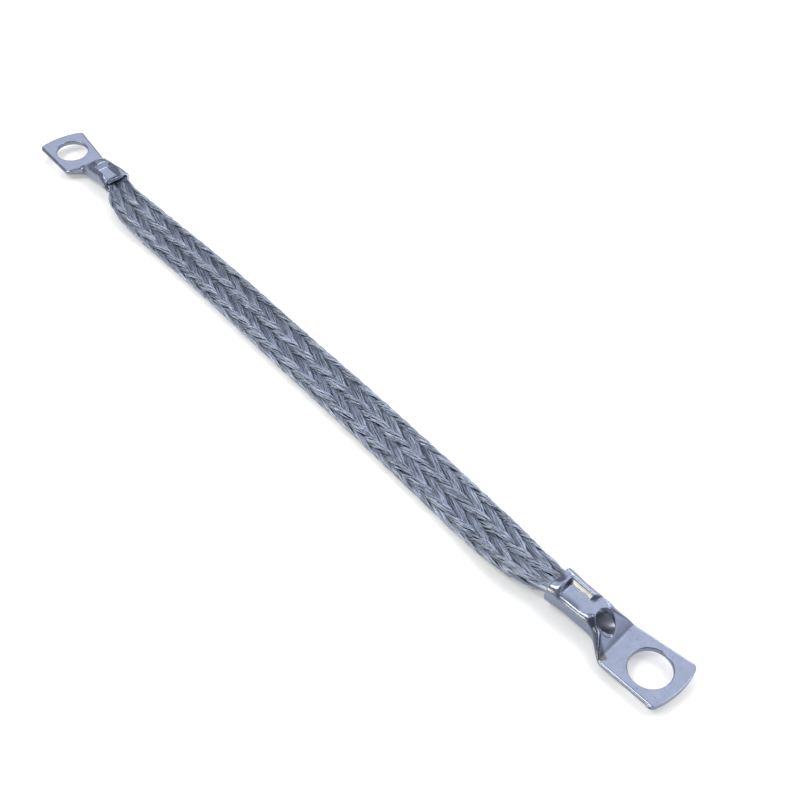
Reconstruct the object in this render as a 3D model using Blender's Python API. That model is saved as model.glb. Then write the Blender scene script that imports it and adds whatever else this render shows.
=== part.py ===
"""Flexible braided copper link: a flattened tubular braid of tinned copper wire with a
crimped tube lug on each end. Metres, +Z up, the link lies on the plane z = 0 along X.
"""

import math

import bmesh
import bpy
from mathutils import Vector

MM = 0.001

# Driving sizes of the link
EYE_SPACING = 265.8 * MM
CLEARANCE = 0.3 * MM

# Tube lug: one piece of tube, pressed flat at one end
TUBE_WALL = 0.8 * MM
MOUTH_FLARE = 0.5 * MM
MOUTH_FLARE_LENGTH = 6.0 * MM

# Palm: the flattened end, with the eye for the bolt
EYE_DIAMETER = 10.6 * MM
PALM_THICKNESS = 1.5 * MM
PALM_END_WIDTH = 16.3 * MM
PALM_ROOT_WIDTH = 14.2 * MM
PALM_END_BULGE = 1.45 * MM
PALM_CORNER_RADIUS = 1.5 * MM
PALM_LENGTH_TO_CREASE = 9.8 * MM

# Neck between the palm and the barrel
NECK_TOP_LENGTH = 7.5 * MM
NECK_UNDERSIDE_LENGTH = 6.0 * MM
NECK_TOP_EASE = 1.6
CAVITY_END_GAP = 0.5 * MM

# Sight hole in the neck
SIGHT_HOLE_LENGTH = 5.2 * MM
SIGHT_HOLE_WIDTH = 4.4 * MM
SIGHT_HOLE_FROM_CREASE = 4.2 * MM
SIGHT_HOLE_OFFSET = 0.3 * MM
SIGHT_HOLE_DEPTH_STOP = 0.2 * MM

# Crimp: a rectangular punch mark in the top of the barrel, with a collar left at the mouth
CRIMP_FROM_EYE = 20.2 * MM
CRIMP_LENGTH = 6.0 * MM
CRIMP_WIDTH = 4.6 * MM
CRIMP_DEPTH = 2.6 * MM
CRIMP_END_SLOPE = 0.6 * MM
CRIMP_MOUTH_SLOPE = 0.8 * MM
CRIMP_SIDE_SLOPE = 0.8 * MM

# Braid: a flattened tube of strands, over two and under two
BRAID_WIDTH = 14.8 * MM
BRAID_THICKNESS = 3.2 * MM
BRAID_COLUMNS = 12
STRAND_PERIOD = 8.4 * MM
STRAND_RELIEF = 0.55 * MM
BRAID_SPREAD_LENGTH = 11.0 * MM
BRAID_SPREAD_POWER = 1.2
BRAID_SETTLE_LENGTH = 36.0 * MM

# How finely the round and woven shapes are divided
LUG_POINTS = 32
SAMPLES_PER_STRAND = 3
EYE_SEGMENTS = 32
NECK_RINGS = 8
BEND_STEP = 1.0 * MM

# Each lug: the end it is on, how far its palm reaches past the middle of the eye, the length from
# the eye to the mouth, the height of the palm, the barrel's width and how far the barrel reaches
# above and below the palm's middle, the length over which the sides draw in, how far the crimp
# has sunk the collar's whole top and its middle, how far crimp and barrel stand aside of the
# palm, and how palm and barrel are turned, tilted and rolled, in degrees, as the press left them
LUGS = {
    "near_lug": {
        "side": 1, "palm_reach": 8.3 * MM, "length": 29.6 * MM, "palm_height": 2.9 * MM,
        "barrel_width": 9.15 * MM,
        "barrel_above": 6.5 * MM, "barrel_below": 2.65 * MM, "neck_length": 5.9 * MM,
        "collar_drop": 0.4 * MM, "collar_sag": 1.2 * MM,
        "crimp_offset": -0.6 * MM, "barrel_offset": 1.55 * MM, "palm_roll": 2.0,
        "palm_turn": 5.2, "barrel_turn": 3.4, "palm_tilt": -1.0, "barrel_tilt": 2.45,
    },
    "far_lug": {
        "side": -1, "palm_reach": 9.0 * MM, "length": 27.4 * MM, "palm_height": 3.0 * MM,
        "barrel_width": 8.8 * MM,
        "barrel_above": 5.5 * MM, "barrel_below": 1.8 * MM, "neck_length": 3.0 * MM,
        "collar_drop": 1.6 * MM, "collar_sag": 1.0 * MM,
        "crimp_offset": 0.3 * MM, "barrel_offset": 1.85 * MM, "palm_roll": -0.5,
        "palm_turn": -2.6, "barrel_turn": 2.8, "palm_tilt": -3.5, "barrel_tilt": 4.4,
    },
}

# The braid lies with a slight sway, at fractions of its free length from the far lug
BRAID_SWAY = (
    (0.03, 0.1 * MM), (0.06, -0.5 * MM), (0.09, -0.45 * MM), (0.13, 0.0 * MM), (0.19, 0.65 * MM),
    (0.30, 1.05 * MM), (0.45, 0.78 * MM), (0.62, 0.72 * MM), (0.74, 0.33 * MM), (0.83, -0.12 * MM),
    (0.89, -0.87 * MM), (0.95, -1.6 * MM),
)

BRAID_HALF_WIDTH = BRAID_WIDTH / 2
BRAID_HALF_THICKNESS = BRAID_THICKNESS / 2


def clamp(value, low=0.0, high=1.0):
    return max(low, min(high, value))


def ease(value, start, end):
    """0 before start, 1 after end, and a smooth S in between."""
    t = clamp((value - start) / (end - start))
    return t * t * (3 - 2 * t)


def slot_point(half_width, half_height, share):
    """Point and outward normal on a slot shape with round ends, at a share of its way round.

    Share 0 is the +Y edge, a quarter is the middle of the top, a half is the -Y edge."""
    radius = min(half_width, half_height)
    flat = half_width - radius
    arc = math.pi * radius / 2
    quarter = flat + arc
    turn, rest = divmod(share * 4, 1.0)
    quadrant = int(turn) % 4
    along = rest * quarter if quadrant % 2 == 0 else (1 - rest) * quarter
    if along < arc:
        angle = along / radius
        y, z = flat + radius * math.cos(angle), radius * math.sin(angle)
        normal_y, normal_z = math.cos(angle), math.sin(angle)
    else:
        y, z = flat - (along - arc), radius
        normal_y, normal_z = 0.0, 1.0
    sign_y = 1 if quadrant in (0, 3) else -1
    sign_z = 1 if quadrant in (0, 1) else -1
    return y * sign_y, z * sign_z, normal_y * sign_y, normal_z * sign_z


def new_object(name, mesh, collection):
    obj = bpy.data.objects.new(name, mesh)
    collection.objects.link(obj)
    return obj


def tin_material(name, colour, roughness):
    material = bpy.data.materials.new(name)
    material.use_nodes = True
    shader = material.node_tree.nodes["Principled BSDF"]
    shader.inputs["Base Color"].default_value = (*colour, 1.0)
    shader.inputs["Roughness"].default_value = roughness
    shader.inputs["Metallic"].default_value = 1.0
    return material


def bridge_rings(bm, rings, diagonal=None):
    """Joins each ring of vertices to the next. diagonal says which way a quad is split."""
    for row in range(len(rings) - 1):
        near, far = rings[row], rings[row + 1]
        count = len(near)
        for k in range(count):
            n = (k + 1) % count
            quad = (near[k], near[n], far[n], far[k])
            if diagonal is None:
                bm.faces.new(quad)
            elif diagonal(row, k):
                bm.faces.new((quad[0], quad[1], quad[2]))
                bm.faces.new((quad[0], quad[2], quad[3]))
            else:
                bm.faces.new((quad[0], quad[1], quad[3]))
                bm.faces.new((quad[1], quad[2], quad[3]))


def close_ring(bm, ring):
    """Closes a ring with strips that join each top vertex to the one below it."""
    count = len(ring)
    half = count // 2
    bm.faces.new((ring[0], ring[1], ring[count - 1]))
    for k in range(1, half - 1):
        bm.faces.new((ring[k], ring[k + 1], ring[count - k - 1], ring[count - k]))
    bm.faces.new((ring[half - 1], ring[half], ring[half + 1]))


def finish_mesh(bm, name, smooth_angle):
    bmesh.ops.recalc_face_normals(bm, faces=bm.faces)
    if bm.calc_volume(signed=True) < 0:
        bmesh.ops.reverse_faces(bm, faces=bm.faces)
    mesh = bpy.data.meshes.new(name)
    bm.to_mesh(mesh)
    bm.free()
    mesh.shade_smooth()
    mesh.set_sharp_from_angle(angle=math.radians(smooth_angle))
    return mesh


# Tube lug. Its length runs from the eye, at 0, to the mouth of the barrel, and its height is
# counted from the middle of the palm.

def lug_width(reach, lug):
    """Half width of the lug's outside."""
    end, root, barrel = PALM_END_WIDTH / 2, PALM_ROOT_WIDTH / 2, lug["barrel_width"] / 2
    from_end = (reach + lug["palm_reach"]) / (lug["palm_reach"] + PALM_LENGTH_TO_CREASE)
    palm = end + (root - end) * clamp(from_end)
    neck = ease(reach, PALM_LENGTH_TO_CREASE - 1.0 * MM, PALM_LENGTH_TO_CREASE + lug["neck_length"])
    flare = MOUTH_FLARE * ease(reach, lug["length"] - MOUTH_FLARE_LENGTH, lug["length"])
    return palm + (barrel - palm) * neck + flare


def lug_top(reach, lug):
    t = clamp((reach - PALM_LENGTH_TO_CREASE) / NECK_TOP_LENGTH)
    palm_top = PALM_THICKNESS / 2
    return palm_top + (lug["barrel_above"] - palm_top) * (1 - (1 - t) ** NECK_TOP_EASE)


def lug_underside(reach, lug):
    neck = ease(reach, PALM_LENGTH_TO_CREASE, PALM_LENGTH_TO_CREASE + NECK_UNDERSIDE_LENGTH)
    palm_underside = -PALM_THICKNESS / 2
    return palm_underside + (-lug["barrel_below"] - palm_underside) * neck


def crimp_share(reach, y, grow):
    """How far a point is pushed down by the punch, from 0 to 1. grow widens the mark."""
    palm_end = CRIMP_FROM_EYE - grow
    mouth_end = CRIMP_FROM_EYE + CRIMP_LENGTH + grow
    along = ease(reach, palm_end - CRIMP_END_SLOPE, palm_end)
    along *= 1 - ease(reach, mouth_end, mouth_end + CRIMP_MOUTH_SLOPE)
    half = CRIMP_WIDTH / 2 + grow
    return along * (1 - ease(abs(y), half, half + CRIMP_SIDE_SLOPE))


def collar_sunk(reach, y, lug):
    """How far the crimp has pulled down the top of the barrel between it and the mouth."""
    start = CRIMP_FROM_EYE + CRIMP_LENGTH / 2
    across = clamp(abs(y - lug["crimp_offset"]) / (lug["barrel_width"] / 2 - TUBE_WALL))
    middle = lug["collar_sag"] * (1 + math.cos(math.pi * across)) / 2
    return (lug["collar_drop"] + middle) * ease(reach, start, lug["length"])


def palm_end_setback(y, half_width):
    """How far the palm's end stands back from its furthest point, at y."""
    bulge_radius = (half_width**2 + PALM_END_BULGE**2) / (2 * PALM_END_BULGE)
    setback = bulge_radius - math.sqrt(bulge_radius**2 - y**2)
    past = abs(y) - (half_width - PALM_CORNER_RADIUS)
    if past > 0:
        past = min(past, PALM_CORNER_RADIUS)
        setback += PALM_CORNER_RADIUS - math.sqrt(PALM_CORNER_RADIUS**2 - past**2)
    return setback


def lug_ring(reach, inset, lug, count=LUG_POINTS):
    """Section of the lug's outside (inset 0) or of its hollow (inset one wall)."""
    top, under = lug_top(reach, lug), lug_underside(reach, lug)
    half_height = (top - under) / 2 - inset
    half_width = lug_width(reach, lug) - inset
    centre = (top + under) / 2
    floor = lug["barrel_above"] - CRIMP_DEPTH - inset
    points = []
    for k in range(count):
        y, z, _, _ = slot_point(half_width, half_height, k / count)
        if z > 0:
            z -= collar_sunk(reach, y, lug) * z / half_height
        z += centre
        if z > floor:
            z += (floor - z) * crimp_share(reach, y - lug["crimp_offset"], inset)
        points.append((reach, y, z))
    return points


def lug_place(point, lug):
    """Moves a lug point to its place, following the lug's bend from the eye on."""
    reach, y, z = point
    side = lug["side"]
    centre = Vector((side * EYE_SPACING / 2, 0.0, lug["palm_height"]))
    steps = max(1, math.ceil(max(reach, 0.0) / BEND_STEP))
    for k in range(steps):
        middle = reach * (k + 0.5) / steps if reach > 0 else reach
        barrel = ease(middle, PALM_LENGTH_TO_CREASE - 1.0 * MM, PALM_LENGTH_TO_CREASE + NECK_TOP_LENGTH)
        turn = math.radians(lug["palm_turn"] + (lug["barrel_turn"] - lug["palm_turn"]) * barrel)
        tilt = math.radians(lug["palm_tilt"] + (lug["barrel_tilt"] - lug["palm_tilt"]) * barrel)
        along = Vector((-side * math.cos(turn), -side * math.sin(turn), math.sin(tilt)))
        centre += along * (reach / steps)
    neck = ease(reach, PALM_LENGTH_TO_CREASE - 1.0 * MM, PALM_LENGTH_TO_CREASE + lug["neck_length"])
    roll = math.radians(lug["palm_roll"]) * (1 - barrel)
    across = Vector((-math.sin(turn), math.cos(turn), 0.0))
    up = Vector((side * math.sin(tilt), 0.0, math.cos(tilt)))
    centre += across * lug["barrel_offset"] * neck
    return centre + (across * y + up * z) * math.cos(roll) + (up * y - across * z) * math.sin(roll)


def crimp_stations(grow, lug):
    """Lengths along the lug at which the punch mark's slopes begin and end, and the mouth."""
    palm_end = CRIMP_FROM_EYE - grow
    mouth_end = CRIMP_FROM_EYE + CRIMP_LENGTH + grow
    slope = [palm_end - CRIMP_END_SLOPE * share for share in (1.0, 0.5, 0.0)]
    floor = [palm_end + (mouth_end - palm_end) * share for share in (0.5, 1.0)]
    lip = [mouth_end + CRIMP_MOUTH_SLOPE * share for share in (0.5, 1.0)]
    return [s for s in slope + floor + lip if s < lug["length"] - 0.2 * MM] + [lug["length"]]


def neck_stations(start):
    end = PALM_LENGTH_TO_CREASE + NECK_TOP_LENGTH
    return [start + (end - start) * k / NECK_RINGS for k in range(NECK_RINGS + 1)]


def add_ring(bm, points, lug):
    return [bm.verts.new(lug_place(p, lug)) for p in points]


def eye_cutter(lug, cutters):
    bpy.ops.mesh.primitive_cylinder_add(
        vertices=EYE_SEGMENTS, radius=EYE_DIAMETER / 2, depth=4 * PALM_THICKNESS,
        location=lug_place((0, 0, 0), lug),
        rotation=(math.radians(lug["palm_roll"]), math.radians(lug["side"] * lug["palm_tilt"]), 0))
    return keep_cutter("eye_cutter", cutters)


def sight_hole_cutter(lug, cutters):
    reach = PALM_LENGTH_TO_CREASE + SIGHT_HOLE_FROM_CREASE
    place = lug_place((reach, SIGHT_HOLE_OFFSET, lug["barrel_above"]), lug)
    bpy.ops.mesh.primitive_cylinder_add(
        vertices=EYE_SEGMENTS * 3 // 4, radius=1.0, depth=2 * lug["barrel_above"],
        location=(place.x, place.y, place.z + SIGHT_HOLE_DEPTH_STOP))
    bpy.context.object.scale = (SIGHT_HOLE_LENGTH / 2, SIGHT_HOLE_WIDTH / 2, 1.0)
    bpy.ops.object.transform_apply(location=False, rotation=False, scale=True)
    return keep_cutter("sight_hole_cutter", cutters)


def keep_cutter(name, cutters):
    cutter = bpy.context.object
    cutter.name = name
    for collection in list(cutter.users_collection):
        collection.objects.unlink(cutter)
    cutters.objects.link(cutter)
    cutter.hide_render = True
    cutter.display_type = "WIRE"
    return cutter


def build_lug(name, lug, parts, cutters, material):
    palm = [-lug["palm_reach"], -lug["palm_reach"] + PALM_END_BULGE + 2 * PALM_CORNER_RADIUS]
    outside = palm + neck_stations(PALM_LENGTH_TO_CREASE) + crimp_stations(0.0, lug)
    hollow = neck_stations(PALM_LENGTH_TO_CREASE + CAVITY_END_GAP) + crimp_stations(TUBE_WALL, lug)

    bm = bmesh.new()
    rings = []
    for reach in outside:
        points = lug_ring(reach, 0.0, lug)
        if reach == -lug["palm_reach"]:
            half = lug_width(reach, lug)
            points = [(r + palm_end_setback(y, half), y, z) for r, y, z in points]
        rings.append(add_ring(bm, points, lug))
    bore = [add_ring(bm, lug_ring(reach, TUBE_WALL, lug), lug) for reach in reversed(hollow)]
    close_ring(bm, rings[0])
    bridge_rings(bm, rings + bore)
    close_ring(bm, bore[-1])
    obj = new_object(name, finish_mesh(bm, name, 40), parts)
    obj.data.materials.append(material)

    for cutter in (eye_cutter(lug, cutters), sight_hole_cutter(lug, cutters)):
        cut = obj.modifiers.new(cutter.name, "BOOLEAN")
        cut.operation = "DIFFERENCE"
        cut.object = cutter
    return obj


# Braid. Its strands run round it in both directions, over two and under two.

def mouth_frame(lug):
    """Middle of the braid where it leaves a barrel, its half width and half height there, and
    its slopes sideways and upwards along X."""
    length = lug["length"]
    top = lug_top(length, lug) - lug["collar_drop"] - lug["collar_sag"]
    under = lug_underside(length, lug)
    middle = (top + under) / 2
    half_height = (top - under) / 2 - TUBE_WALL - CLEARANCE
    half_width = lug_width(length, lug) - TUBE_WALL - CLEARANCE
    place = lug_place((length, 0, middle), lug)
    turn, tilt = math.tan(math.radians(lug["barrel_turn"])), math.tan(math.radians(lug["barrel_tilt"]))
    return place, half_width, half_height, turn, -lug["side"] * tilt


def hermite(share, start, end, slope_start, slope_end, length):
    """Height of a cubic that leaves start and reaches end with the given slopes."""
    t2, t3 = share * share, share**3
    value = start * (2 * t3 - 3 * t2 + 1) + end * (3 * t2 - 2 * t3)
    return value + length * (slope_start * (t3 - 2 * t2 + share) + slope_end * (t3 - t2))


def braid_path(x, far, near):
    """Sideways place of the braid's middle: a smooth line through the sway's points."""
    length = near[0].x - far[0].x
    knots = [(far[0].x, far[0].y)]
    knots += [(far[0].x + share * length, y) for share, y in BRAID_SWAY]
    knots += [(near[0].x, near[0].y)]
    slopes = [far[3]]
    slopes += [(c[1] - a[1]) / (c[0] - a[0]) for a, c in zip(knots, knots[2:])]
    slopes += [near[3]]
    for k, (start, end) in enumerate(zip(knots, knots[1:])):
        if x <= end[0] or k == len(knots) - 2:
            span = end[0] - start[0]
            return hermite((x - start[0]) / span, start[1], end[1], slopes[k], slopes[k + 1], span)


def strand_height(row_share, column_share):
    """Height of the woven surface, 0 in the valleys and 1 on the crest of a strand.

    row_share counts strand periods along the braid, column_share counts columns round it."""
    right = column_share - 0.25 + row_share
    left = column_share - 0.25 - row_share
    right_strand, left_strand = round(right), round(left)
    order = (right_strand + left_strand) % 4
    if order in (0, 1):
        across = right - right_strand
        along = left - left_strand + order - 0.5
    else:
        across = left - left_strand
        along = right - right_strand + (order - 2) - 0.5
    dome = math.sqrt(max(0.0, 1 - (2 * across) ** 2))
    return dome * (1 - 0.5 * along**2)


def braid_size(x, mouth):
    """Half width, half height and height of the middle of the braid's section at x."""
    place, mouth_half_width, mouth_half_height, _, rise = mouth
    outside = abs(place.x - x)
    spread = 1 - math.exp(-((outside / BRAID_SPREAD_LENGTH) ** BRAID_SPREAD_POWER))
    half_width = mouth_half_width + (BRAID_HALF_WIDTH - mouth_half_width) * spread
    half_height = mouth_half_height + (BRAID_HALF_THICKNESS - mouth_half_height) * spread
    settle = clamp(outside / BRAID_SETTLE_LENGTH)
    slope = rise if x > place.x else -rise
    middle = hermite(settle, place.z, BRAID_HALF_THICKNESS, slope, 0.0, BRAID_SETTLE_LENGTH)
    return half_width, half_height, middle


def braid_inside_stations(lug):
    """Lengths along the lug between which the braid is pressed under the crimp, and the mouth."""
    inset = TUBE_WALL + CLEARANCE
    collar = min(CRIMP_FROM_EYE + CRIMP_LENGTH + inset, lug["length"] - inset)
    return CRIMP_FROM_EYE - inset, collar, lug["length"]


def braid_inside_ring(reach, count, lug):
    """Section of the braid inside a barrel, pressed under the crimp and the sunk collar."""
    points = lug_ring(reach, TUBE_WALL + CLEARANCE, lug, count)
    return [lug_place(p, lug) for p in points]


def braid_woven_ring(x, count, relief, far, near):
    half_width, half_height, middle = braid_size(x, far if x < 0 else near)
    side = braid_path(x, far, near)
    points = []
    for k in range(count):
        column = (k + 0.25) / SAMPLES_PER_STRAND
        y, z, normal_y, normal_z = slot_point(half_width, half_height, column / BRAID_COLUMNS)
        sunk = relief * (1 - strand_height(x / STRAND_PERIOD, column))
        points.append(Vector((x, y - normal_y * sunk + side, z - normal_z * sunk + middle)))
    return points


def build_braid(parts, material):
    count = BRAID_COLUMNS * SAMPLES_PER_STRAND
    step = STRAND_PERIOD / SAMPLES_PER_STRAND
    far, near = mouth_frame(LUGS["far_lug"]), mouth_frame(LUGS["near_lug"])
    first = math.ceil((far[0].x + step / 2) / step)
    last = math.floor((near[0].x - step / 2) / step)

    bm = bmesh.new()
    rings = []
    for reach in braid_inside_stations(LUGS["far_lug"]):
        rings.append(braid_inside_ring(reach, count, LUGS["far_lug"]))
    first_woven = len(rings)
    for row in range(first, last + 1):
        x = row * step
        outside = min(x - far[0].x, near[0].x - x)
        relief = STRAND_RELIEF * clamp(outside / STRAND_PERIOD)
        rings.append(braid_woven_ring(x, count, relief, far, near))
    for reach in reversed(braid_inside_stations(LUGS["near_lug"])):
        rings.append(braid_inside_ring(reach, count, LUGS["near_lug"]))
    verts = [[bm.verts.new(p) for p in ring] for ring in rings]

    def along_strand(row, k):
        """True where the strand on top runs from one sample to the next sample of the next ring."""
        x = (row - first_woven + first + 0.5) / SAMPLES_PER_STRAND
        column = (k + 0.75) / SAMPLES_PER_STRAND
        order = (round(column - 0.25 + x) + round(column - 0.25 - x)) % 4
        return order in (2, 3)

    bridge_rings(bm, verts, along_strand)
    close_ring(bm, verts[0])
    close_ring(bm, verts[-1])
    obj = new_object("braid", finish_mesh(bm, "braid", 60), parts)
    obj.data.materials.append(material)
    return obj


def main():
    for obj in list(bpy.data.objects):
        bpy.data.objects.remove(obj, do_unlink=True)
    parts = bpy.data.collections.new("braided_link")
    cutters = bpy.data.collections.new("cutters")
    bpy.context.scene.collection.children.link(parts)
    bpy.context.scene.collection.children.link(cutters)

    lug_tin = tin_material("tinned_lug", (0.40, 0.45, 0.62), 0.28)
    braid_tin = tin_material("tinned_braid", (0.22, 0.25, 0.33), 0.42)
    for name, lug in LUGS.items():
        build_lug(name, lug, parts, cutters, lug_tin)
    build_braid(parts, braid_tin)


main()
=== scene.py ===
"""Looks of a flexible braided link: pressed tube lugs, the wires of the braid, and a soft studio."""

import math

import bmesh
import bpy
import numpy as np
from mathutils import Matrix, Vector


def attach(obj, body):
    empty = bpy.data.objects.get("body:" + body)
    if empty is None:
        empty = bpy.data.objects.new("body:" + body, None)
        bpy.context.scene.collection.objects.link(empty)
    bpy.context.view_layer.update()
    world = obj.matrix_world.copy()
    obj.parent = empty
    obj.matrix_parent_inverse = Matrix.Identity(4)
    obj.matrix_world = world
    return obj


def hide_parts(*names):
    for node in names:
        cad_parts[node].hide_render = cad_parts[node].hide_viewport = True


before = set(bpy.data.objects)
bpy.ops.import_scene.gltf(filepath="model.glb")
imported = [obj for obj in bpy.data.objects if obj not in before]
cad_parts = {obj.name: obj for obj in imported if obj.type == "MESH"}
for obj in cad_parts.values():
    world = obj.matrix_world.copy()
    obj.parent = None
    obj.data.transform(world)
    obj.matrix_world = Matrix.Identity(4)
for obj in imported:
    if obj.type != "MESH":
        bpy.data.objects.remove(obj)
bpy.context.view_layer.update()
scene = bpy.context.scene

# Tube lugs: each is one piece of tin plated copper tube, satin and slightly cloudy. Its end is
# pressed flat into a palm with a round eye, the neck has a sight hole, and a punch has sunk a
# rectangular mark into the barrel, over the braid that it holds.
MM = 0.001
EYE_SPACING = 265.8 * MM
WALL = 0.8 * MM
RIM = 0.18 * MM
CREASE = 9.8 * MM
PALM_THICKNESS = 1.5 * MM
PALM_HALF_WIDTH, PALM_TAPER = 8.15 * MM, 1.05 * MM
BULGE, CORNER, END_DEPTH = 1.45 * MM, 1.4 * MM, 3.6 * MM
FOLD_DEPTH, FOLD_BACK, FOLD_WIDTH = 0.08, 0.5 * MM, 0.14 * MM
EYE_RADIUS, EYE_EDGE, EYE_CUT = 5.3 * MM, 0.28 * MM, 3 * MM
NECK_RISE, NECK_POWER, UNDER_RISE = 7.5 * MM, 1.6, 6.0 * MM
NECK_START, NECK_FULL, NECK_FADE, NECK_END = CREASE + 0.3 * MM, CREASE + 2.5 * MM, 15.0 * MM, 18.5 * MM
FLANK_START, FLANK_END, FLANK_ROUND = 1.0 * MM, 3.2 * MM, 1.4
SIGHT_RADIUS, SIGHT_FLOOR, DISH_REACH = 2.2 * MM, 0.2 * MM, 1.24
HOLLOW_END = CREASE + 0.5 * MM
CRIMP_START, CRIMP_LENGTH, CRIMP_FAR_EDGE = 20.2 * MM, 6.0 * MM, 1.2 * MM
FAR_SLOPE, NEAR_SLOPE = 1.38, 3.0
CRIMP_FLARE, CRIMP_FLARE_MOST = 2.0, 2.5 * MM
MOUTH_FLARE, FLARE_LENGTH, SAG_PAST = 0.5 * MM, 6.0 * MM, 0.6 * MM
# Millimetres and degrees, with lengths along a lug counted from its eye. The rows hold the outline,
# the neck and the mouth, the turns of palm and barrel, the mark and the slopes of its ends, and the
# palm's end, the folds and the sight hole (place along and across, and its stretch).
LUGS = {
    "near_lug": {
        "side": 1, "reach": 8.3, "length": 29.6, "height": 2.9, "width": 9.15, "above": 6.5, "below": 2.65,
        "neck": 5.9, "offset": 1.55, "fall": 26.4, "drop": 0.4, "sag": 1.2,
        "turn": (5.2, 3.4), "tilt": (-1.0, 2.45), "roll": 2.0,
        "crimp": -0.6, "depth": 1.9, "near_foot": 4.0, "foot": 0.12, "floor_fall": 0.0,
        "palm_slope": 0.22, "mouth_slope": 1.9,
        "skew": 0.07, "round": 0.42, "neck_round": 1.8, "dish": 0.45, "sight": (4.3, -0.7, 1.18),
    },
    "far_lug": {
        "side": -1, "reach": 9.0, "length": 27.4, "height": 3.0, "width": 8.8, "above": 5.5, "below": 1.8,
        "neck": 3.0, "offset": 1.85, "fall": 23.2, "drop": 1.6, "sag": 1.0,
        "turn": (-2.6, 2.8), "tilt": (-3.5, 4.4), "roll": -0.5,
        "crimp": 0.3, "depth": 2.0, "near_foot": 2.5, "foot": 0.5, "floor_fall": 0.15,
        "palm_slope": 1.7, "mouth_slope": 0.5,
        "skew": 0.0, "round": 0.15, "neck_round": 0.0, "dish": 0.0, "sight": (1.6, -0.6, 0.9),
    },
}
LENGTHS = (
    "reach", "length", "height", "width", "above", "below", "neck", "offset", "fall", "drop", "sag",
    "crimp", "depth", "near_foot", "foot", "round", "dish",
)
for lug in LUGS.values():
    for key in LENGTHS:
        lug[key] *= MM


def ease(value, start, end):
    """Goes from 0 to 1 with a soft start and end."""
    t = np.clip((value - start) / (end - start), 0.0, 1.0)
    return t * t * (3 - 2 * t)


def straight_step(value, start, end):
    """Goes from 0 to 1 as a straight slope with a short bend at each end."""
    bend = 0.2
    t = np.clip((value - start) / (end - start), 0.0, 1.0)
    middle = (t - bend / 2) / (1 - bend)
    ends = 2 * bend * (1 - bend)
    return np.where(t < bend, t * t / ends, np.where(t > 1 - bend, 1 - (1 - t) ** 2 / ends, middle))


def slot_shape(half_width, half_height, share):
    """Points and outward normals on a slot shape, at shares of its way round from the +Y edge."""
    radius = min(half_width, half_height)
    flat = half_width - radius
    arc = math.pi * radius / 2
    quadrant = np.floor(share * 4).astype(int) % 4
    rest = share * 4 - np.floor(share * 4)
    along = np.where(quadrant % 2 == 0, rest, 1 - rest) * (flat + arc)
    angle = np.minimum(along, arc) / radius
    y = flat + radius * np.cos(angle) - np.maximum(along - arc, 0)
    sign_y = np.where((quadrant == 0) | (quadrant == 3), 1.0, -1.0)
    sign_z = np.where(quadrant < 2, 1.0, -1.0)
    return y * sign_y, radius * np.sin(angle) * sign_z, np.cos(angle) * sign_y, np.sin(angle) * sign_z


def punched(reach, y, grow, lug):
    """How high the wall of a lug still is under the punch, whose four sides slope."""
    beyond = reach - CRIMP_START
    flare = min(max(-beyond, 0.0) * CRIMP_FLARE, CRIMP_FLARE_MOST)
    far_side = (y - CRIMP_FAR_EDGE - grow - flare) * FAR_SLOPE
    near_side = (-y - lug["near_foot"] - grow) * NEAR_SLOPE
    mouth_side = (beyond - CRIMP_LENGTH - grow) * lug["mouth_slope"]
    palm_side = (-beyond - grow) * lug["palm_slope"]
    side = np.maximum(np.maximum(far_side, near_side), max(mouth_side, palm_side))
    fall = min(max(beyond, 0.0), CRIMP_LENGTH) * lug["floor_fall"]
    return lug["above"] - lug["depth"] - grow - fall + (side + np.sqrt(side**2 + lug["foot"] ** 2)) / 2


def dished(reach, y, lug):
    """The edge of the sight hole is pressed in a little all round."""
    place, beside, stretch = lug["sight"]
    away = np.hypot(
        (reach - CREASE - place * MM) / (SIGHT_RADIUS * stretch),
        (y - beside * MM) / SIGHT_RADIUS,
    )
    return lug["dish"] * (1 - straight_step(away, 1.0, DISH_REACH))


def lug_section(reach, inset, lug, share):
    """Section of a lug's outside, or of its hollow one wall in."""
    half_palm = PALM_THICKNESS / 2
    t = float(np.clip((reach - CREASE) / NECK_RISE, 0, 1))
    top = half_palm + (lug["above"] - half_palm) * (1 - (1 - t) ** NECK_POWER)
    under = half_palm + (lug["below"] - half_palm) * ease(reach, CREASE, CREASE + UNDER_RISE)
    from_end = (reach + lug["reach"]) / (lug["reach"] + CREASE)
    palm = PALM_HALF_WIDTH - PALM_TAPER * float(np.clip(from_end, 0, 1))
    half_width = palm + (lug["width"] / 2 - palm) * ease(reach, CREASE - MM, CREASE + lug["neck"])
    half_width += MOUTH_FLARE * ease(reach, lug["length"] - FLARE_LENGTH, lug["length"])
    half_height = (top + under) / 2 - inset
    y, z, _, _ = slot_shape(half_width - inset, half_height, share)
    across = np.clip(np.abs(y - lug["crimp"]) / (lug["width"] / 2 - WALL), 0, 1)
    sunk = lug["drop"] + lug["sag"] * (1 + np.cos(math.pi * across)) / 2
    sunk *= ease(reach, lug["fall"], lug["length"] + SAG_PAST)
    z = z - np.where(z > 0, sunk * z / half_height, 0) + (top - under) / 2
    spare = punched(reach, y - lug["crimp"], inset, lug) - z
    neck = ease(reach, NECK_END, NECK_FADE) * ease(reach, NECK_START, NECK_FULL)
    flank = FLANK_ROUND * ease(-y, FLANK_START, FLANK_END)
    bend = lug["round"] * (1 + flank * (1 + lug["neck_round"] * neck))
    z = z + (spare - np.sqrt(spare**2 + bend**2)) / 2
    return y, z - np.where(z > 0, dished(reach, y, lug), 0)


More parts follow.
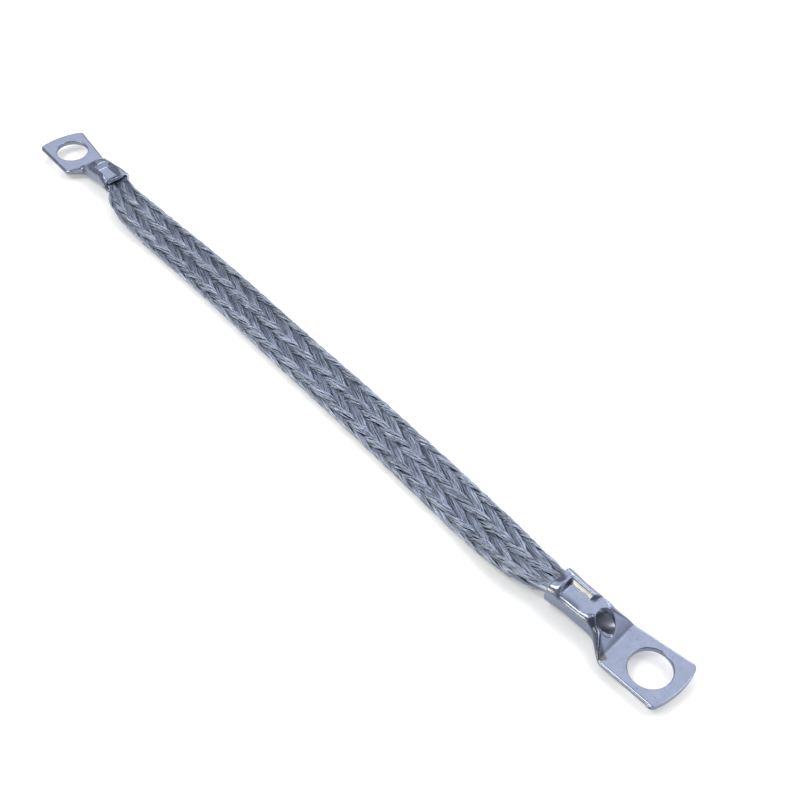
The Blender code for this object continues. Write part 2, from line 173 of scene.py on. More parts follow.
def lug_frame(reach, lug):
    """Middle, sideways and upward directions of a lug at a length from its eye, and the way along it."""
    steps = max(1, math.ceil(max(reach, 0.0) / MM))
    centre = Vector((lug["side"] * EYE_SPACING / 2, 0.0, lug["height"]))
    for k in range(steps):
        at = reach * (k + 0.5) / steps if reach > 0 else reach
        barrel = ease(at, CREASE - MM, CREASE + NECK_RISE)
        turn = math.radians(lug["turn"][0] + (lug["turn"][1] - lug["turn"][0]) * barrel)
        tilt = math.radians(lug["tilt"][0] + (lug["tilt"][1] - lug["tilt"][0]) * barrel)
        along = Vector((-lug["side"] * math.cos(turn), -lug["side"] * math.sin(turn), math.sin(tilt)))
        centre += along * (reach / steps)
    across = Vector((-math.sin(turn), math.cos(turn), 0.0))
    up = Vector((lug["side"] * math.sin(tilt), 0.0, math.cos(tilt)))
    centre += across * lug["offset"] * float(ease(reach, CREASE - MM, CREASE + lug["neck"]))
    roll = math.radians(lug["roll"]) * (1 - barrel)
    rolled_across = across * math.cos(roll) + up * math.sin(roll)
    rolled_up = up * math.cos(roll) - across * math.sin(roll)
    return centre, rolled_across, rolled_up, along


def lug_points(reach, y, z, lug):
    """Puts the points of a section where the lug has them."""
    centre, across, up, _ = lug_frame(reach, lug)
    return np.array(centre) + np.outer(y, np.array(across)) + np.outer(z, np.array(up))


def loft(bm, rings):
    """Joins rows of points, each a closed ring, and closes both ends with strips."""
    rows = [[bm.verts.new(p) for p in ring] for ring in rings]
    count = len(rows[0])
    for a, b in zip(rows, rows[1:]):
        for k in range(count):
            n = (k + 1) % count
            bm.faces.new((a[k], a[n], b[n], b[k]))
    for row in (rows[0], rows[-1]):
        for k in range(count // 2):
            quad = [row[k], row[k + 1], row[-k - 1], row[-k]] if k else [row[0], row[1], row[-1]]
            if k == count // 2 - 1:
                quad = [row[k], row[k + 1], row[-k]]
            bm.faces.new(quad)
    bmesh.ops.recalc_face_normals(bm, faces=bm.faces)
    if bm.calc_volume(signed=True) < 0:
        bmesh.ops.reverse_faces(bm, faces=bm.faces)


def lofted_mesh(name, rings):
    """The mesh of one loft."""
    bm = bmesh.new()
    loft(bm, rings)
    mesh = bpy.data.meshes.new(name)
    bm.to_mesh(mesh)
    bm.free()
    return mesh


def placed(name, mesh):
    """An object with this mesh, in the scene."""
    made = bpy.data.objects.new(name, mesh)
    scene.collection.objects.link(made)
    return made


def plain_mesh(made):
    """Turns what an object's modifiers give into its own mesh."""
    evaluated = made.evaluated_get(bpy.context.evaluated_depsgraph_get())
    made.data = bpy.data.meshes.new_from_object(evaluated)
    made.modifiers.clear()


def turned_cutter(name, profile, matrix, stretch=1.0):
    """A round cutter: radius and height pairs turned about Z."""
    turns = np.linspace(0, 2 * math.pi, CUTTER_SIDES, endpoint=False)
    rings = [[(r * math.cos(a) * stretch, r * math.sin(a), h) for a in turns] for r, h in profile]
    mesh = lofted_mesh(name, rings)
    mesh.transform(matrix)
    return placed(name, mesh)


def node(tree, kind, values=None, **settings):
    """Adds a node, sets its options, and sets or links its inputs."""
    made = tree.nodes.new(kind)
    for name, value in settings.items():
        setattr(made, name, value)
    for name, value in (values or {}).items():
        if isinstance(value, bpy.types.NodeSocket):
            tree.links.new(value, made.inputs[name])
        else:
            made.inputs[name].default_value = value
    return made


def math_node(tree, operation, *values):
    """One step of arithmetic in a tree."""
    return node(tree, "ShaderNodeMath", dict(enumerate(values)), operation=operation).outputs[0]


def noise(tree, at, scale, detail):
    """Soft noise in a material."""
    return node(tree, "ShaderNodeTexNoise", {"Vector": at, "Scale": scale, "Detail": detail}).outputs[0]


def graded(tree, value, start, end, low=0.0, high=1.0):
    """Goes from low to high while a value goes from start to end."""
    return node(tree, "ShaderNodeMapRange", {0: value, 1: start, 2: end, 3: low, 4: high}).outputs[0]


def laid_over(tree, share, under, over):
    """Lays one colour over another by a share."""
    return node(tree, "ShaderNodeMix", {0: share, 6: under, 7: over}, data_type="RGBA").outputs[2]


def new_material(name):
    """A material with its tree and its shader."""
    material = bpy.data.materials.new(name)
    material.use_nodes = True
    tree = material.node_tree
    return material, tree, tree.nodes["Principled BSDF"]


# Tin is a little darker in some patches than in others. Each tinned finish has this clouding with
# its own size and colours, and may mix a tone of each wire's own into it.
clouding = bpy.data.node_groups.new("tin_clouding", "ShaderNodeTree")
clouding.interface.new_socket("Vector", in_out="INPUT", socket_type="NodeSocketVector")
for label, value in (
    ("Scale", 400.0), ("Detail", 3.0), ("Roughness", 0.5), ("Own tone", 0.0), ("Own share", 0.0),
    ("Low", 0.3), ("High", 0.7),
):
    socket = clouding.interface.new_socket(label, in_out="INPUT", socket_type="NodeSocketFloat")
    socket.default_value = value
for label in ("Dark", "Light"):
    clouding.interface.new_socket(label, in_out="INPUT", socket_type="NodeSocketColor")
clouding.interface.new_socket("Color", in_out="OUTPUT", socket_type="NodeSocketColor")
clouding.interface.new_socket("Cloud", in_out="OUTPUT", socket_type="NodeSocketFloat")
given = clouding.nodes.new("NodeGroupInput").outputs
patches = {label: given[label] for label in ("Vector", "Scale", "Detail", "Roughness")}
patches = node(clouding, "ShaderNodeTexNoise", patches).outputs[0]
patch_share = math_node(clouding, "SUBTRACT", 1.0, given["Own share"])
patches = math_node(clouding, "MULTIPLY", patches, patch_share)
cloud = math_node(clouding, "MULTIPLY_ADD", given["Own tone"], given["Own share"], patches)
light_share = graded(clouding, cloud, given["Low"], given["High"])
colour = laid_over(clouding, light_share, given["Dark"], given["Light"])
node(clouding, "NodeGroupOutput", {"Color": colour, "Cloud": cloud})

TIN_DARK, TIN_LIGHT = (0.20, 0.225, 0.305, 1), (0.24, 0.27, 0.36, 1)
SPECK_COLOUR, SPECK_SCALE, SPECK_START, SPECK_FULL = (0.15, 0.16, 0.21, 1), 1500.0, 0.64, 0.74
STAIN_COLOUR, STAIN_PLACE = (0.11, 0.105, 0.085, 1), (0.1236, -0.0064, 0.0036)
STAIN_INNER, STAIN_OUTER, STAIN_STRENGTH, STAIN_FRAY = 1.7 * MM, 2.3 * MM, 0.95, 2.0 * MM
# These set a painted shade, dark along the near flank of the near lug's neck, where it reflects dark
# surroundings.
NECK_PAINTED_SHADE_COLOUR = (0.07, 0.08, 0.12, 1)
NECK_PAINTED_SHADE_START, NECK_PAINTED_SHADE_END = Vector((0.1168, -0.0030, 0.0072)), Vector((0.1222, -0.0058, 0.0040))
NECK_PAINTED_SHADE_INNER, NECK_PAINTED_SHADE_OUTER, NECK_PAINTED_SHADE_STRENGTH, NECK_PAINTED_SHADE_FRAY = 1.1 * MM, 1.8 * MM, 0.85, 0.8 * MM
# The bore colour is painted light: the tube's hollow is made pale for the light that comes in through the
# sight hole.
BORE_PAINTED_LIGHT_COLOUR, BORE_ROUGHER = (0.78, 0.82, 0.9, 1), 0.25

lug_tin, tree, shader = new_material("tinned_lug")
coords = node(tree, "ShaderNodeTexCoord").outputs["Object"]
tin = node(tree, "ShaderNodeGroup", {
    "Vector": coords, "Scale": 420.0, "Detail": 4.0, "Roughness": 0.6, "Dark": TIN_DARK, "Light": TIN_LIGHT,
}, node_tree=clouding).outputs
specks = graded(tree, noise(tree, coords, SPECK_SCALE, 2.0), SPECK_START, SPECK_FULL)
colour = laid_over(tree, specks, tin["Color"], SPECK_COLOUR)
# A brown stain sits where the near lug's fold begins.
off = node(tree, "ShaderNodeVectorMath", {0: coords, 1: STAIN_PLACE}, operation="DISTANCE").outputs["Value"]
off = math_node(tree, "MULTIPLY_ADD", tin["Cloud"], STAIN_FRAY, off)
stain = graded(tree, off, STAIN_INNER, STAIN_OUTER, STAIN_STRENGTH, 0.0)
colour = laid_over(tree, stain, colour, STAIN_COLOUR)
# Painted shade: the near flank of the near lug's neck is coloured dark along its bend, standing for the dark
# reflection it shows there.
run = NECK_PAINTED_SHADE_END - NECK_PAINTED_SHADE_START
away = node(tree, "ShaderNodeVectorMath", {0: coords, 1: NECK_PAINTED_SHADE_START}, operation="SUBTRACT").outputs[0]
along = {0: away, 1: run / run.length_squared}
along = node(tree, "ShaderNodeVectorMath", along, operation="DOT_PRODUCT").outputs["Value"]
nearest = {0: run, "Scale": node(tree, "ShaderNodeClamp", {0: along}).outputs[0]}
nearest = node(tree, "ShaderNodeVectorMath", nearest, operation="SCALE").outputs[0]
off = node(tree, "ShaderNodeVectorMath", {0: away, 1: nearest}, operation="DISTANCE").outputs["Value"]
off = math_node(tree, "MULTIPLY_ADD", tin["Cloud"], NECK_PAINTED_SHADE_FRAY, off)
neck_painted_shade = graded(tree, off, NECK_PAINTED_SHADE_INNER, NECK_PAINTED_SHADE_OUTER, NECK_PAINTED_SHADE_STRENGTH, 0.0)
colour = laid_over(tree, neck_painted_shade, colour, NECK_PAINTED_SHADE_COLOUR)
# The hollow of the tube is matt, and its pale colour is painted light, for the light that comes in through
# the sight hole.
bore = node(tree, "ShaderNodeAttribute", attribute_name="bore").outputs["Fac"]
tree.links.new(laid_over(tree, bore, colour, BORE_PAINTED_LIGHT_COLOUR), shader.inputs["Base Color"])
rough = graded(tree, tin["Cloud"], 0.3, 0.7, 0.2, 0.3)
tree.links.new(math_node(tree, "MULTIPLY_ADD", bore, BORE_ROUGHER, rough), shader.inputs["Roughness"])
grain = noise(tree, coords, 2600.0, 3.0)
bump = node(tree, "ShaderNodeBump", {"Strength": 0.12, "Distance": 0.03 * MM, "Height": grain})
tree.links.new(bump.outputs[0], shader.inputs["Normal"])
shader.inputs["Metallic"].default_value = 1.0

CUTTER_SIDES = 96
LUG_SIDES = 176
PALM_RINGS = 24
OUTSIDE_STEP, HOLLOW_STEP = 0.16 * MM, 0.3 * MM
SHARP_ANGLE = math.radians(38)
lug_shares = np.arange(LUG_SIDES) / LUG_SIDES
rim_angles = [math.radians(a) for a in (18, 36, 54, 72, 90)]
edge_angles = [math.radians(a) for a in (0, 22, 45, 68, 90)]
for name, lug in LUGS.items():
    palm_end, length = -lug["reach"], lug["length"]
    rim_start = length - RIM - 0.02 * MM
    outside = [(palm_end + RIM * (1 - math.sin(a)), RIM * (1 - math.cos(a))) for a in rim_angles[::-1]]
    outside += [(s, 0.0) for s in np.linspace(palm_end + 0.3 * MM, CREASE - 1.2 * MM, PALM_RINGS)]
    outside += [(s, 0.0) for s in np.arange(CREASE - MM, rim_start, OUTSIDE_STEP)]
    outside += [(length - RIM * (1 - math.sin(a)), RIM * (1 - math.cos(a))) for a in rim_angles]
    rings = []
    for reach, inset in outside:
        y, z = lug_section(reach, inset, lug, lug_shares)
        if reach < CREASE:
            z = z * (1 - FOLD_DEPTH * math.exp(-(((reach - CREASE + FOLD_BACK) / FOLD_WIDTH) ** 2)))
        points = lug_points(reach, y, z, lug)
        fade = 1 - (reach + lug["reach"]) / END_DEPTH
        if fade > 0:
            half = np.abs(y).max()
            radius = (half**2 + BULGE**2) / (2 * BULGE)
            back = radius - np.sqrt(radius**2 - y**2)
            past = np.clip(np.abs(y) - (half - CORNER), 0, CORNER)
            back += CORNER - np.sqrt(CORNER**2 - past**2) - y * lug["skew"]
            points += np.outer(back * fade, np.array(lug_frame(reach, lug)[3]))
        rings.append(points)
    hollow_from = len(rings) * LUG_SIDES
    hollow = [(length - RIM * (1 - math.sin(a)), WALL - RIM * (1 - math.cos(a))) for a in rim_angles[::-1]]
    hollow += [(s, WALL) for s in np.arange(rim_start, HOLLOW_END, -HOLLOW_STEP)]
    for reach, inset in hollow:
        y, z = lug_section(reach, inset, lug, lug_shares)
        rings.append(lug_points(reach, y, z, lug))
    mesh = lofted_mesh(name + "_tube", rings)
    in_hollow = np.arange(len(mesh.vertices)) >= hollow_from
    mesh.attributes.new("bore", "FLOAT", "POINT").data.foreach_set("value", in_hollow.astype(np.float32))
    mesh.materials.append(lug_tin)
    tube = placed(name + "_tube", mesh)

    centre, across, up, along = lug_frame(0.0, lug)
    place = Matrix((-lug["side"] * along, across, up)).transposed().to_4x4()
    place.translation = centre
    wide, straight = EYE_RADIUS + EYE_EDGE, PALM_THICKNESS / 2 - EYE_EDGE
    edge = [(wide - EYE_EDGE * math.cos(a), straight + EYE_EDGE * math.sin(a)) for a in edge_angles]
    profile = [(wide, EYE_CUT), *reversed(edge), *[(r, -h) for r, h in edge], (wide, -EYE_CUT)]
    cutters = [turned_cutter(name + "_eye", profile, place)]
    place, beside, stretch = lug["sight"]
    centre, across, up, along = lug_frame(CREASE + place * MM, lug)
    top = Matrix.Translation(centre + across * beside * MM + Vector((0, 0, lug["above"])))
    profile = [(SIGHT_RADIUS, lug["above"]), (SIGHT_RADIUS, SIGHT_FLOOR - lug["above"])]
    cutters.append(turned_cutter(name + "_sight", profile, top, stretch))
    for cutter in cutters:
        tube.modifiers.new("cut", "BOOLEAN").object = cutter
    plain_mesh(tube)
    for cutter in cutters:
        bpy.data.objects.remove(cutter)
    tube.data.shade_smooth()
    tube.data.set_sharp_from_angle(angle=SHARP_ANGLE)
    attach(tube, "root")
    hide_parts(name)

# Braid: a tube of fine tinned copper wires rolled flat, with its ends held in the two barrels.
# Twelve strands run round it each way, over two and under two, and each strand is a flat bundle of
# wires lying side by side. The wires are duller than the lugs, and each has its own tone.
COLUMNS = 12
PERIOD = 8.4 * MM
HALF_WIDTH, HALF_THICKNESS = 7.4 * MM, 1.6 * MM
CLEARANCE = WALL + 0.3 * MM
SPREAD_LENGTH, SPREAD_POWER = 11.0 * MM, 1.2
SETTLE_LENGTH = 36.0 * MM
BRAID_END = CRIMP_START - 1.1 * MM
# Shares of the braid's length with how far it lies to the side there, in millimetres.
SWAY = (
    (0.03, 0.1), (0.06, -0.5), (0.09, -0.45), (0.13, 0.0), (0.19, 0.65), (0.30, 1.05),
    (0.45, 0.78), (0.62, 0.72), (0.74, 0.33), (0.83, -0.12), (0.89, -0.87), (0.95, -1.6),
)


def hermite(share, start, end, slope_start, slope_end, length):
    """A curve between two values with a given slope at each end."""
    t2, t3 = share * share, share**3
    value = start * (2 * t3 - 3 * t2 + 1) + end * (3 * t2 - 2 * t3)
    return value + length * (slope_start * (t3 - 2 * t2 + share) + slope_end * (t3 - t2))


mouths = {}
for name, lug in LUGS.items():
    top, under = lug["above"] - lug["drop"] - lug["sag"], lug["below"]
    centre, across, up, _ = lug_frame(lug["length"], lug)
    mouths[name] = {
        "place": centre + up * (top - under) / 2,
        "half_width": lug["width"] / 2 + MOUTH_FLARE - CLEARANCE,
        "half_height": (top + under) / 2 - CLEARANCE,
        "turn": math.tan(math.radians(lug["turn"][1])),
        "rise": -lug["side"] * math.tan(math.radians(lug["tilt"][1])),
    }
far, near = mouths["far_lug"], mouths["near_lug"]
start_x, end_x = far["place"].x, near["place"].x
knots = [(start_x, far["place"].y)]
knots += [(start_x + share * (end_x - start_x), y * MM) for share, y in SWAY]
knots += [(end_x, near["place"].y)]
slopes = [(c[1] - a[1]) / (c[0] - a[0]) for a, c in zip(knots, knots[2:])]
slopes = [far["turn"], *slopes, near["turn"]]


def braid_section(x, share):
    """Points and outward directions round the braid at x."""
    mouth = far if x < 0 else near
    outside = abs(mouth["place"].x - x)
    spread = 1 - math.exp(-((outside / SPREAD_LENGTH) ** SPREAD_POWER))
    half_width = mouth["half_width"] + (HALF_WIDTH - mouth["half_width"]) * spread
    half_height = mouth["half_height"] + (HALF_THICKNESS - mouth["half_height"]) * spread
    rise = mouth["rise"] if x > mouth["place"].x else -mouth["rise"]
    settle = min(outside / SETTLE_LENGTH, 1.0)
    height = hermite(settle, mouth["place"].z, HALF_THICKNESS, rise, 0.0, SETTLE_LENGTH)
    k = min(max(0, sum(x > knot[0] for knot in knots) - 1), len(knots) - 2)
    span = knots[k + 1][0] - knots[k][0]
    side = hermite((x - knots[k][0]) / span, knots[k][1], knots[k + 1][1], slopes[k], slopes[k + 1], span)
    y, z, normal_y, normal_z = slot_shape(half_width, half_height, share)
    points = np.stack([np.full_like(y, x), y + side, z + height], 1)
    return points, np.stack([np.zeros_like(y), normal_y, normal_z], 1)


# The guide is the braid's outer surface, from inside one barrel to inside the other. It isn't
# shown: the wires take their place from it by its two surface coordinates.
GUIDE_SIDES = 96
HELD_STEP, FREE_STEP = 0.5 * MM, 0.8 * MM
FREE_START, FREE_END, HELD_FADE = 0.4 * MM, 0.2 * MM, 3.0 * MM
guide_shares = np.arange(GUIDE_SIDES + 1) / GUIDE_SIDES
rows = []
for lug in LUGS.values():
    for reach in np.arange(BRAID_END, lug["length"], HELD_STEP):
        y, z = lug_section(reach, CLEARANCE, lug, guide_shares)
        points = lug_points(reach, y, z, lug)
        outward = points - points[:-1].mean(0)
        outward[:, 0] = 0
        outward /= np.linalg.norm(outward, axis=1)[:, None]
        rows.append((float(lug_frame(reach, lug)[0].x), points, outward))
for x in np.arange(start_x + FREE_START, end_x - FREE_END, FREE_STEP):
    points, outward = braid_section(float(x), guide_shares)
    lug = LUGS["far_lug" if x < 0 else "near_lug"]
    blend = float(ease(abs(x - (start_x if x < 0 else end_x)), 0.0, HELD_FADE))
    if blend < 1:
        y, z = lug_section(lug["length"], CLEARANCE, lug, guide_shares)
        held = lug_points(lug["length"], y, z, lug)
        held[:, 0] = points[:, 0]
        points = held + (points - held) * blend
    rows.append((float(x), points, outward))
rows.sort(key=lambda row: row[0])
guide_start, guide_end = rows[0][0], rows[-1][0]
count = len(guide_shares)
guide = bpy.data.meshes.new("guide")
quads = [
    (r * count + k, r * count + k + 1, (r + 1) * count + k + 1, (r + 1) * count + k)
    for r in range(len(rows) - 1)
    for k in range(count - 1)
]
guide.from_pydata(np.concatenate([row[1] for row in rows]).tolist(), [], quads)
outward = np.concatenate([row[2] for row in rows]).astype(np.float32).ravel()
guide.attributes.new("outward", "FLOAT_VECTOR", "POINT").data.foreach_set("vector", outward)
u_of_row = np.array([(row[0] - guide_start) / (guide_end - guide_start) for row in rows])
loops = np.zeros(len(guide.loops), int)
guide.loops.foreach_get("vertex_index", loops)
uv_values = np.stack([u_of_row[loops // count], (loops % count) / (count - 1)], 1)
guide.uv_layers.new(name="lay").data.foreach_set("uv", uv_values.astype(np.float32).ravel())

braid_tin, tree, shader = new_material("tinned_braid")
coords = node(tree, "ShaderNodeTexCoord").outputs["Object"]
own = node(tree, "ShaderNodeAttribute", attribute_name="tone").outputs["Fac"]
tin = node(tree, "ShaderNodeGroup", {
    "Vector": coords, "Scale": 260.0, "Own tone": own, "Own share": 0.5, "Low": 0.2, "High": 0.8,
    "Dark": (0.18, 0.207, 0.272, 1), "Light": (0.43, 0.485, 0.61, 1),
}, node_tree=clouding).outputs
tree.links.new(tin["Color"], shader.inputs["Base Color"])
rough = graded(tree, noise(tree, coords, 1900.0, 2.0), 0.3, 0.7, 0.26, 0.38)
tree.links.new(rough, shader.inputs["Roughness"])
shader.inputs["Metallic"].default_value = 1.0

# The rule of the weave: which way a strand runs, where its wires lie across it, and how it dips
# under and rises over the strands that cross it. Widths and places across are in columns, places
# along in periods, and chance changes by the rates and steps below.
DRIFT_RATE, LIFT_RATE, LIFT_FROM, LIFT_STEP = 1.9, 1.7, 90.0, 1.6
WIRE_STEP, STRAND_STEP = 0.42, 17.3
LIFT_MIDDLE, LIFT_HEIGHT = 0.62, 0.36 * MM
RIGHT_LOOSE, LEFT_TIGHTER = 1.4, -0.8
STRAND_START, CROSSING_START = 0.25, 0.75
STRAND_FILL, STRAND_SWELL = 0.95, 0.14
FIRMNESS = 0.35
COLUMN_SHIFT, WHOLE_TURNS = 0.32, 40.0
PIECE_STRANDS = 6
weave = bpy.data.node_groups.new("braid_wires", "GeometryNodeTree")
weave.is_modifier = True
weave.interface.new_socket("Guide", in_out="INPUT", socket_type="NodeSocketGeometry")
INPUTS = {
    "First strand": ("NodeSocketInt", 0),
    "Strands": ("NodeSocketInt", PIECE_STRANDS),
    "Wires per strand": ("NodeSocketInt", 14),
    "Points per wire": ("NodeSocketInt", 250),
    "Columns": ("NodeSocketInt", COLUMNS),
    "Start": ("NodeSocketFloat", guide_start),
    "Length": ("NodeSocketFloat", guide_end - guide_start),
    "Period": ("NodeSocketFloat", PERIOD),
    "Wire radius": ("NodeSocketFloat", 0.1 * MM),
    "Bundle width": ("NodeSocketFloat", 0.92),
    "Relief": ("NodeSocketFloat", 0.82 * MM),
    "Dome": ("NodeSocketFloat", 0.38 * MM),
    "Wander": ("NodeSocketFloat", 0.26),
    "Seed": ("NodeSocketInt", 7),
}
for label, (kind, value) in INPUTS.items():
    socket = weave.interface.new_socket(label, in_out="INPUT", socket_type=kind)
    socket.default_value = value
weave.interface.new_socket("Wires", in_out="OUTPUT", socket_type="NodeSocketGeometry")
given = weave.nodes.new("NodeGroupInput").outputs


def m(operation, *values):
    """One step of arithmetic in the weave."""
    return math_node(weave, operation, *values)


def chance_along(rate, beside, detail):
    """Smooth chance that changes along a wire and from wire to wire."""
    spot = node(weave, "ShaderNodeCombineXYZ", {"X": m("MULTIPLY", row_at, rate), "Y": beside}).outputs[0]
    values = {"Vector": spot, "Scale": 1.0, "Detail": detail}
    return node(weave, "ShaderNodeTexNoise", values, noise_dimensions="2D").outputs[0]


# One line of points for each wire
line = node(weave, "GeometryNodeCurvePrimitiveLine", {"End": (1.0, 0.0, 0.0)})
path = node(weave, "GeometryNodeResampleCurve", {"Curve": line.outputs[0], "Count": given["Points per wire"]})
total = m("MULTIPLY", given["Strands"], given["Wires per strand"])
spots = node(weave, "GeometryNodePoints", {"Count": total})
copies = {"Points": spots.outputs[0], "Instance": path.outputs[0]}
copies = node(weave, "GeometryNodeInstanceOnPoints", copies)
loose = node(weave, "GeometryNodeRealizeInstances", {"Geometry": copies.outputs[0]})
# Which wire and strand a point is on, which way that strand runs, and how far along the point is
index = node(weave, "GeometryNodeInputIndex").outputs[0]
wire = m("FLOOR", m("DIVIDE", m("ADD", index, 0.5), given["Points per wire"]))
step = m("SUBTRACT", index, m("MULTIPLY", wire, given["Points per wire"]))
share = m("DIVIDE", step, m("SUBTRACT", given["Points per wire"], 1.0))
local = m("FLOOR", m("DIVIDE", m("ADD", wire, 0.5), given["Wires per strand"]))
place_in = m("SUBTRACT", wire, m("MULTIPLY", local, given["Wires per strand"]))
strand = m("ADD", local, given["First strand"])
left = m("GREATER_THAN", m("ADD", strand, 0.5), given["Columns"])
sign = m("MULTIPLY_ADD", left, 2.0, -1.0)
number = m("SUBTRACT", strand, m("MULTIPLY", left, given["Columns"]))
row_at = m("DIVIDE", m("MULTIPLY_ADD", share, given["Length"], given["Start"]), given["Period"])
wire_id = m("MULTIPLY_ADD", given["First strand"], given["Wires per strand"], wire)
# How the wires wander sideways and lift
beside = m("MULTIPLY_ADD", place_in, WIRE_STEP, m("MULTIPLY_ADD", strand, STRAND_STEP, given["Seed"]))
drift = chance_along(DRIFT_RATE, beside, 1.5)
lift = chance_along(LIFT_RATE, m("MULTIPLY_ADD", beside, LIFT_STEP, LIFT_FROM), 1.0)
looser = m("MULTIPLY_ADD", left, LEFT_TIGHTER, RIGHT_LOOSE)
drifted = m("MULTIPLY", m("MULTIPLY", m("SUBTRACT", drift, 0.5), given["Wander"]), looser)
# Where a wire lies across: the strands are widest where they are on top
even = m("SUBTRACT", m("DIVIDE", m("ADD", place_in, 0.5), given["Wires per strand"]), 0.5)
centre = m("MULTIPLY_ADD", sign, row_at, m("ADD", number, STRAND_START))
crossing = m("ADD", m("ADD", centre, number), m("MULTIPLY", sign, row_at))
crossing = m("SUBTRACT", crossing, CROSSING_START)
swell = m("MULTIPLY", m("COSINE", m("MULTIPLY", crossing, math.pi / 2)), m("MULTIPLY", sign, -STRAND_SWELL))
width = m("MULTIPLY", m("ADD", swell, STRAND_FILL), given["Bundle width"])
across = m("MULTIPLY_ADD", even, width, m("MULTIPLY", drifted, 2.0))
column = m("ADD", centre, across)
# How high it lies: over two strands, then under two, with a short firm step between
phase = m("ADD", crossing, across)
wave = m("MULTIPLY", m("COSINE", m("MULTIPLY", phase, math.pi / 2)), m("MULTIPLY", sign, -1.0))
firm = m("DIVIDE", wave, m("SQRT", m("ADD", m("MULTIPLY", wave, wave), FIRMNESS)))
firm = m("MULTIPLY", firm, math.sqrt(1 + FIRMNESS))
dip = m("MULTIPLY", m("MULTIPLY", m("SUBTRACT", firm, 1.0), 0.5), given["Relief"])
dome = m("MULTIPLY", m("MULTIPLY", m("MULTIPLY", even, even), -4.0), given["Dome"])
lifted = m("MULTIPLY", m("SUBTRACT", lift, LIFT_MIDDLE), LIFT_HEIGHT)
height = m("SUBTRACT", m("ADD", m("ADD", dip, dome), lifted), given["Wire radius"])
# The place on the guide, and the wire laid there
turned = m("DIVIDE", m("ADD", column, COLUMN_SHIFT), given["Columns"])
turned = m("FRACT", m("ADD", turned, WHOLE_TURNS))
at = node(weave, "ShaderNodeCombineXYZ", {"X": share, "Y": turned}).outputs[0]
lay, outward = (
    node(weave, "GeometryNodeInputNamedAttribute", {"Name": label}, data_type="FLOAT_VECTOR").outputs[0]
    for label in ("lay", "outward")
)
position = node(weave, "GeometryNodeInputPosition").outputs[0]
surface, normal = (
    node(weave, "GeometryNodeSampleUVSurface", {
        "Mesh": given["Guide"], "Value": value, "UV Map": lay, "Sample UV": at,
    }, data_type="FLOAT_VECTOR").outputs[0]
    for value in (position, outward)
)
raised = node(weave, "ShaderNodeVectorMath", {0: normal, "Scale": height}, operation="SCALE").outputs[0]
moved = node(weave, "ShaderNodeVectorMath", {0: surface, 1: raised}, operation="ADD").outputs[0]
laid = node(weave, "GeometryNodeSetPosition", {"Geometry": loose.outputs[0], "Position": moved})
chance = node(weave, "FunctionNodeRandomValue", {"ID": wire_id, "Seed": given["Seed"]})
toned = {"Geometry": laid.outputs[0], "Name": "tone", "Value": chance.outputs[1]}
toned = node(weave, "GeometryNodeStoreNamedAttribute", toned, domain="POINT")
ring = node(weave, "GeometryNodeCurvePrimitiveCircle", {"Resolution": 4, "Radius": given["Wire radius"]})
swept = {"Curve": toned.outputs[0], "Profile Curve": ring.outputs[0], "Fill Caps": True}
swept = node(weave, "GeometryNodeCurveToMesh", swept)
smooth = node(weave, "GeometryNodeSetShadeSmooth", {"Geometry": swept.outputs[0]})
dressed = node(weave, "GeometryNodeSetMaterial", {"Geometry": smooth.outputs[0], "Material": braid_tin})
node(weave, "NodeGroupOutput", {"Wires": dressed.outputs[0]})
sockets = {s.name: s.identifier for s in weave.interface.items_tree if s.in_out == "INPUT"}

for part, first in enumerate(range(0, 2 * COLUMNS, PIECE_STRANDS)):
    strands = placed(f"braid_strands_{part + 1}", guide)
    grow = strands.modifiers.new("weave", "NODES")
    grow.node_group = weave
    for label, (_, value) in INPUTS.items():
        grow[sockets[label]] = first if label == "First strand" else value
    plain_mesh(strands)
    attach(strands, "root")
    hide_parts("braid")

# Inner layer: the tinned wires on the inside of the flattened tube. They lie in shade, and their colour
# is painted dark as that shade, so they show only as a dark ground in the gaps between the strands.
INNER_DEPTH = 0.8 * MM
shaded_tin, tree, shader = new_material("braid_inside")
coords = node(tree, "ShaderNodeTexCoord").outputs["Object"]
tin = node(tree, "ShaderNodeGroup", {
    "Vector": coords, "Scale": 900.0, "Dark": (0.045, 0.054, 0.077, 1), "Light": (0.12, 0.138, 0.18, 1),
}, node_tree=clouding).outputs
tree.links.new(tin["Color"], shader.inputs["Base Color"])
shader.inputs["Metallic"].default_value = 1.0
shader.inputs["Roughness"].default_value = 0.45
mesh = lofted_mesh("braid_inner_layer", [row[1][:-1] - row[2][:-1] * INNER_DEPTH for row in rows[2:-2]])
mesh.shade_smooth()
mesh.materials.append(shaded_tin)
inner_layer = placed("braid_inner_layer", mesh)
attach(inner_layer, "root")
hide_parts("braid")

# Floor: a plain matt sheet of white paper under the link. To the camera and in the metal's
# reflections it is a little brighter than it is lit, so that it shows white, and it keeps the shadow.
FLOOR_SIZE, FLOOR_DROP = 6.0, 0.2 * MM
FLOOR_GLOW = 0.24
bpy.ops.mesh.primitive_plane_add(size=FLOOR_SIZE, location=(0, 0, -FLOOR_DROP))
floor = bpy.context.object
floor.name = "floor"
paper, tree, shader = new_material("paper")
shader.inputs["Base Color"].default_value = (0.86, 0.86, 0.86, 1)
shader.inputs["Roughness"].default_value = 0.9
shader.inputs["Specular IOR Level"].default_value = 0.0
rays = node(tree, "ShaderNodeLightPath").outputs
seen = math_node(tree, "MAXIMUM", rays["Is Camera Ray"], rays["Is Glossy Ray"])
seen = math_node(tree, "MAXIMUM", seen, rays["Is Transmission Ray"])
tree.links.new(math_node(tree, "MULTIPLY", seen, FLOOR_GLOW), shader.inputs["Emission Strength"])
shader.inputs["Emission Color"].default_value = (1, 1, 1, 1)
floor.data.materials.append(paper)

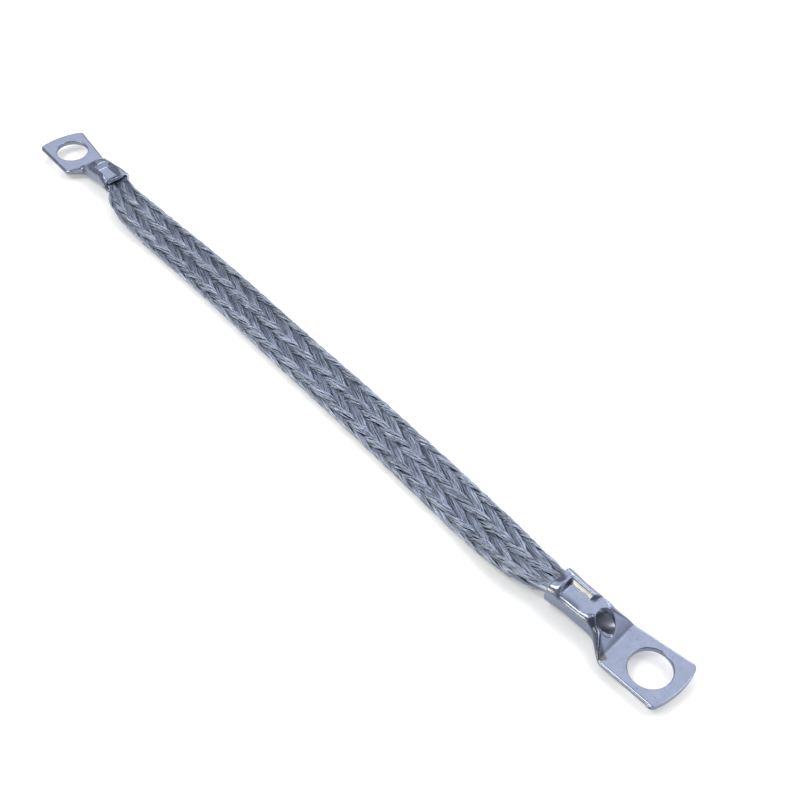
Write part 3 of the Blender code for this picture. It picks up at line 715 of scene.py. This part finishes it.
# Lights, as seen from the camera: a broad soft one high behind the link, a broad one on the right
# and a smaller one above on the left. Small ones put the bright lines on the bends: warm, low on
# the left, and glint and crest, on the right. A faint one on the left lifts the shade.
LIGHTS = {
    "behind": ((-0.50, 0.52, 0.98), (1.3, 1.1), 6.6, (0.97, 0.98, 1.0)),
    "above": ((-0.25, -0.5, 0.95), (0.5, 0.4), 4.4, (1.0, 1.0, 1.0)),
    "warm": ((-0.26, -0.86, 0.24), (0.5, 0.2), 2.1, (1.0, 0.88, 0.5)),
    "side": ((0.78, 0.52, 0.52), (1.2, 0.8), 3.0, (0.95, 0.97, 1.0)),
    "glint": ((0.27, 0.40, 0.88), (0.16, 0.3), 1.25, (1.0, 1.0, 1.0)),
    "crest": ((-0.18, 0.93, 0.34), (0.5, 0.25), 2.4, (1.0, 1.0, 1.0)),
    "left": ((-0.84, -0.5, 0.46), (0.7, 0.5), 0.25, (0.93, 0.96, 1.0)),
}
for name, (location, size, power, colour) in LIGHTS.items():
    data = bpy.data.lights.new(name, "AREA")
    data.shape = "RECTANGLE"
    data.size, data.size_y = size
    data.energy = power
    data.color = colour
    light = placed(name, data)
    light.location = location
    light.rotation_euler = (-Vector(location)).to_track_quat("-Z", "Y").to_euler()

world = bpy.data.worlds.new("studio")
scene.world = world
world.use_nodes = True
sky = world.node_tree.nodes["Background"].inputs
sky["Color"].default_value = (0.92, 0.95, 1.0, 1)
sky["Strength"].default_value = 0.4

# Camera: where the photograph was taken from, above and in front of the link's near end. It looks
# down along the link to its far end, through a normal lens.
SENSOR, FOCAL_PIXELS, PICTURE_PIXELS = 36.0, 1193.2, 800
HALF_PIXEL = 0.5 / PICTURE_PIXELS
CAMERA_PLACE = Vector((205.725, -138.955, 242.72)) * MM
right = Vector((0.64361, 0.76530, 0.00899))
up = Vector((-0.55592, 0.45938, 0.69276))
ahead = Vector((-0.52605, 0.45086, -0.72111))
camera_data = bpy.data.cameras.new("camera")
camera_data.sensor_width = SENSOR
camera_data.lens = SENSOR * FOCAL_PIXELS / PICTURE_PIXELS
camera_data.clip_start, camera_data.clip_end = 0.01, 20.0
camera_data.shift_x, camera_data.shift_y = -HALF_PIXEL, HALF_PIXEL
camera = placed("camera", camera_data)
camera.matrix_world = Matrix.Translation(CAMERA_PLACE) @ Matrix((right, up, -ahead)).transposed().to_4x4()
scene.camera = camera
scene.view_settings.view_transform = "Standard"
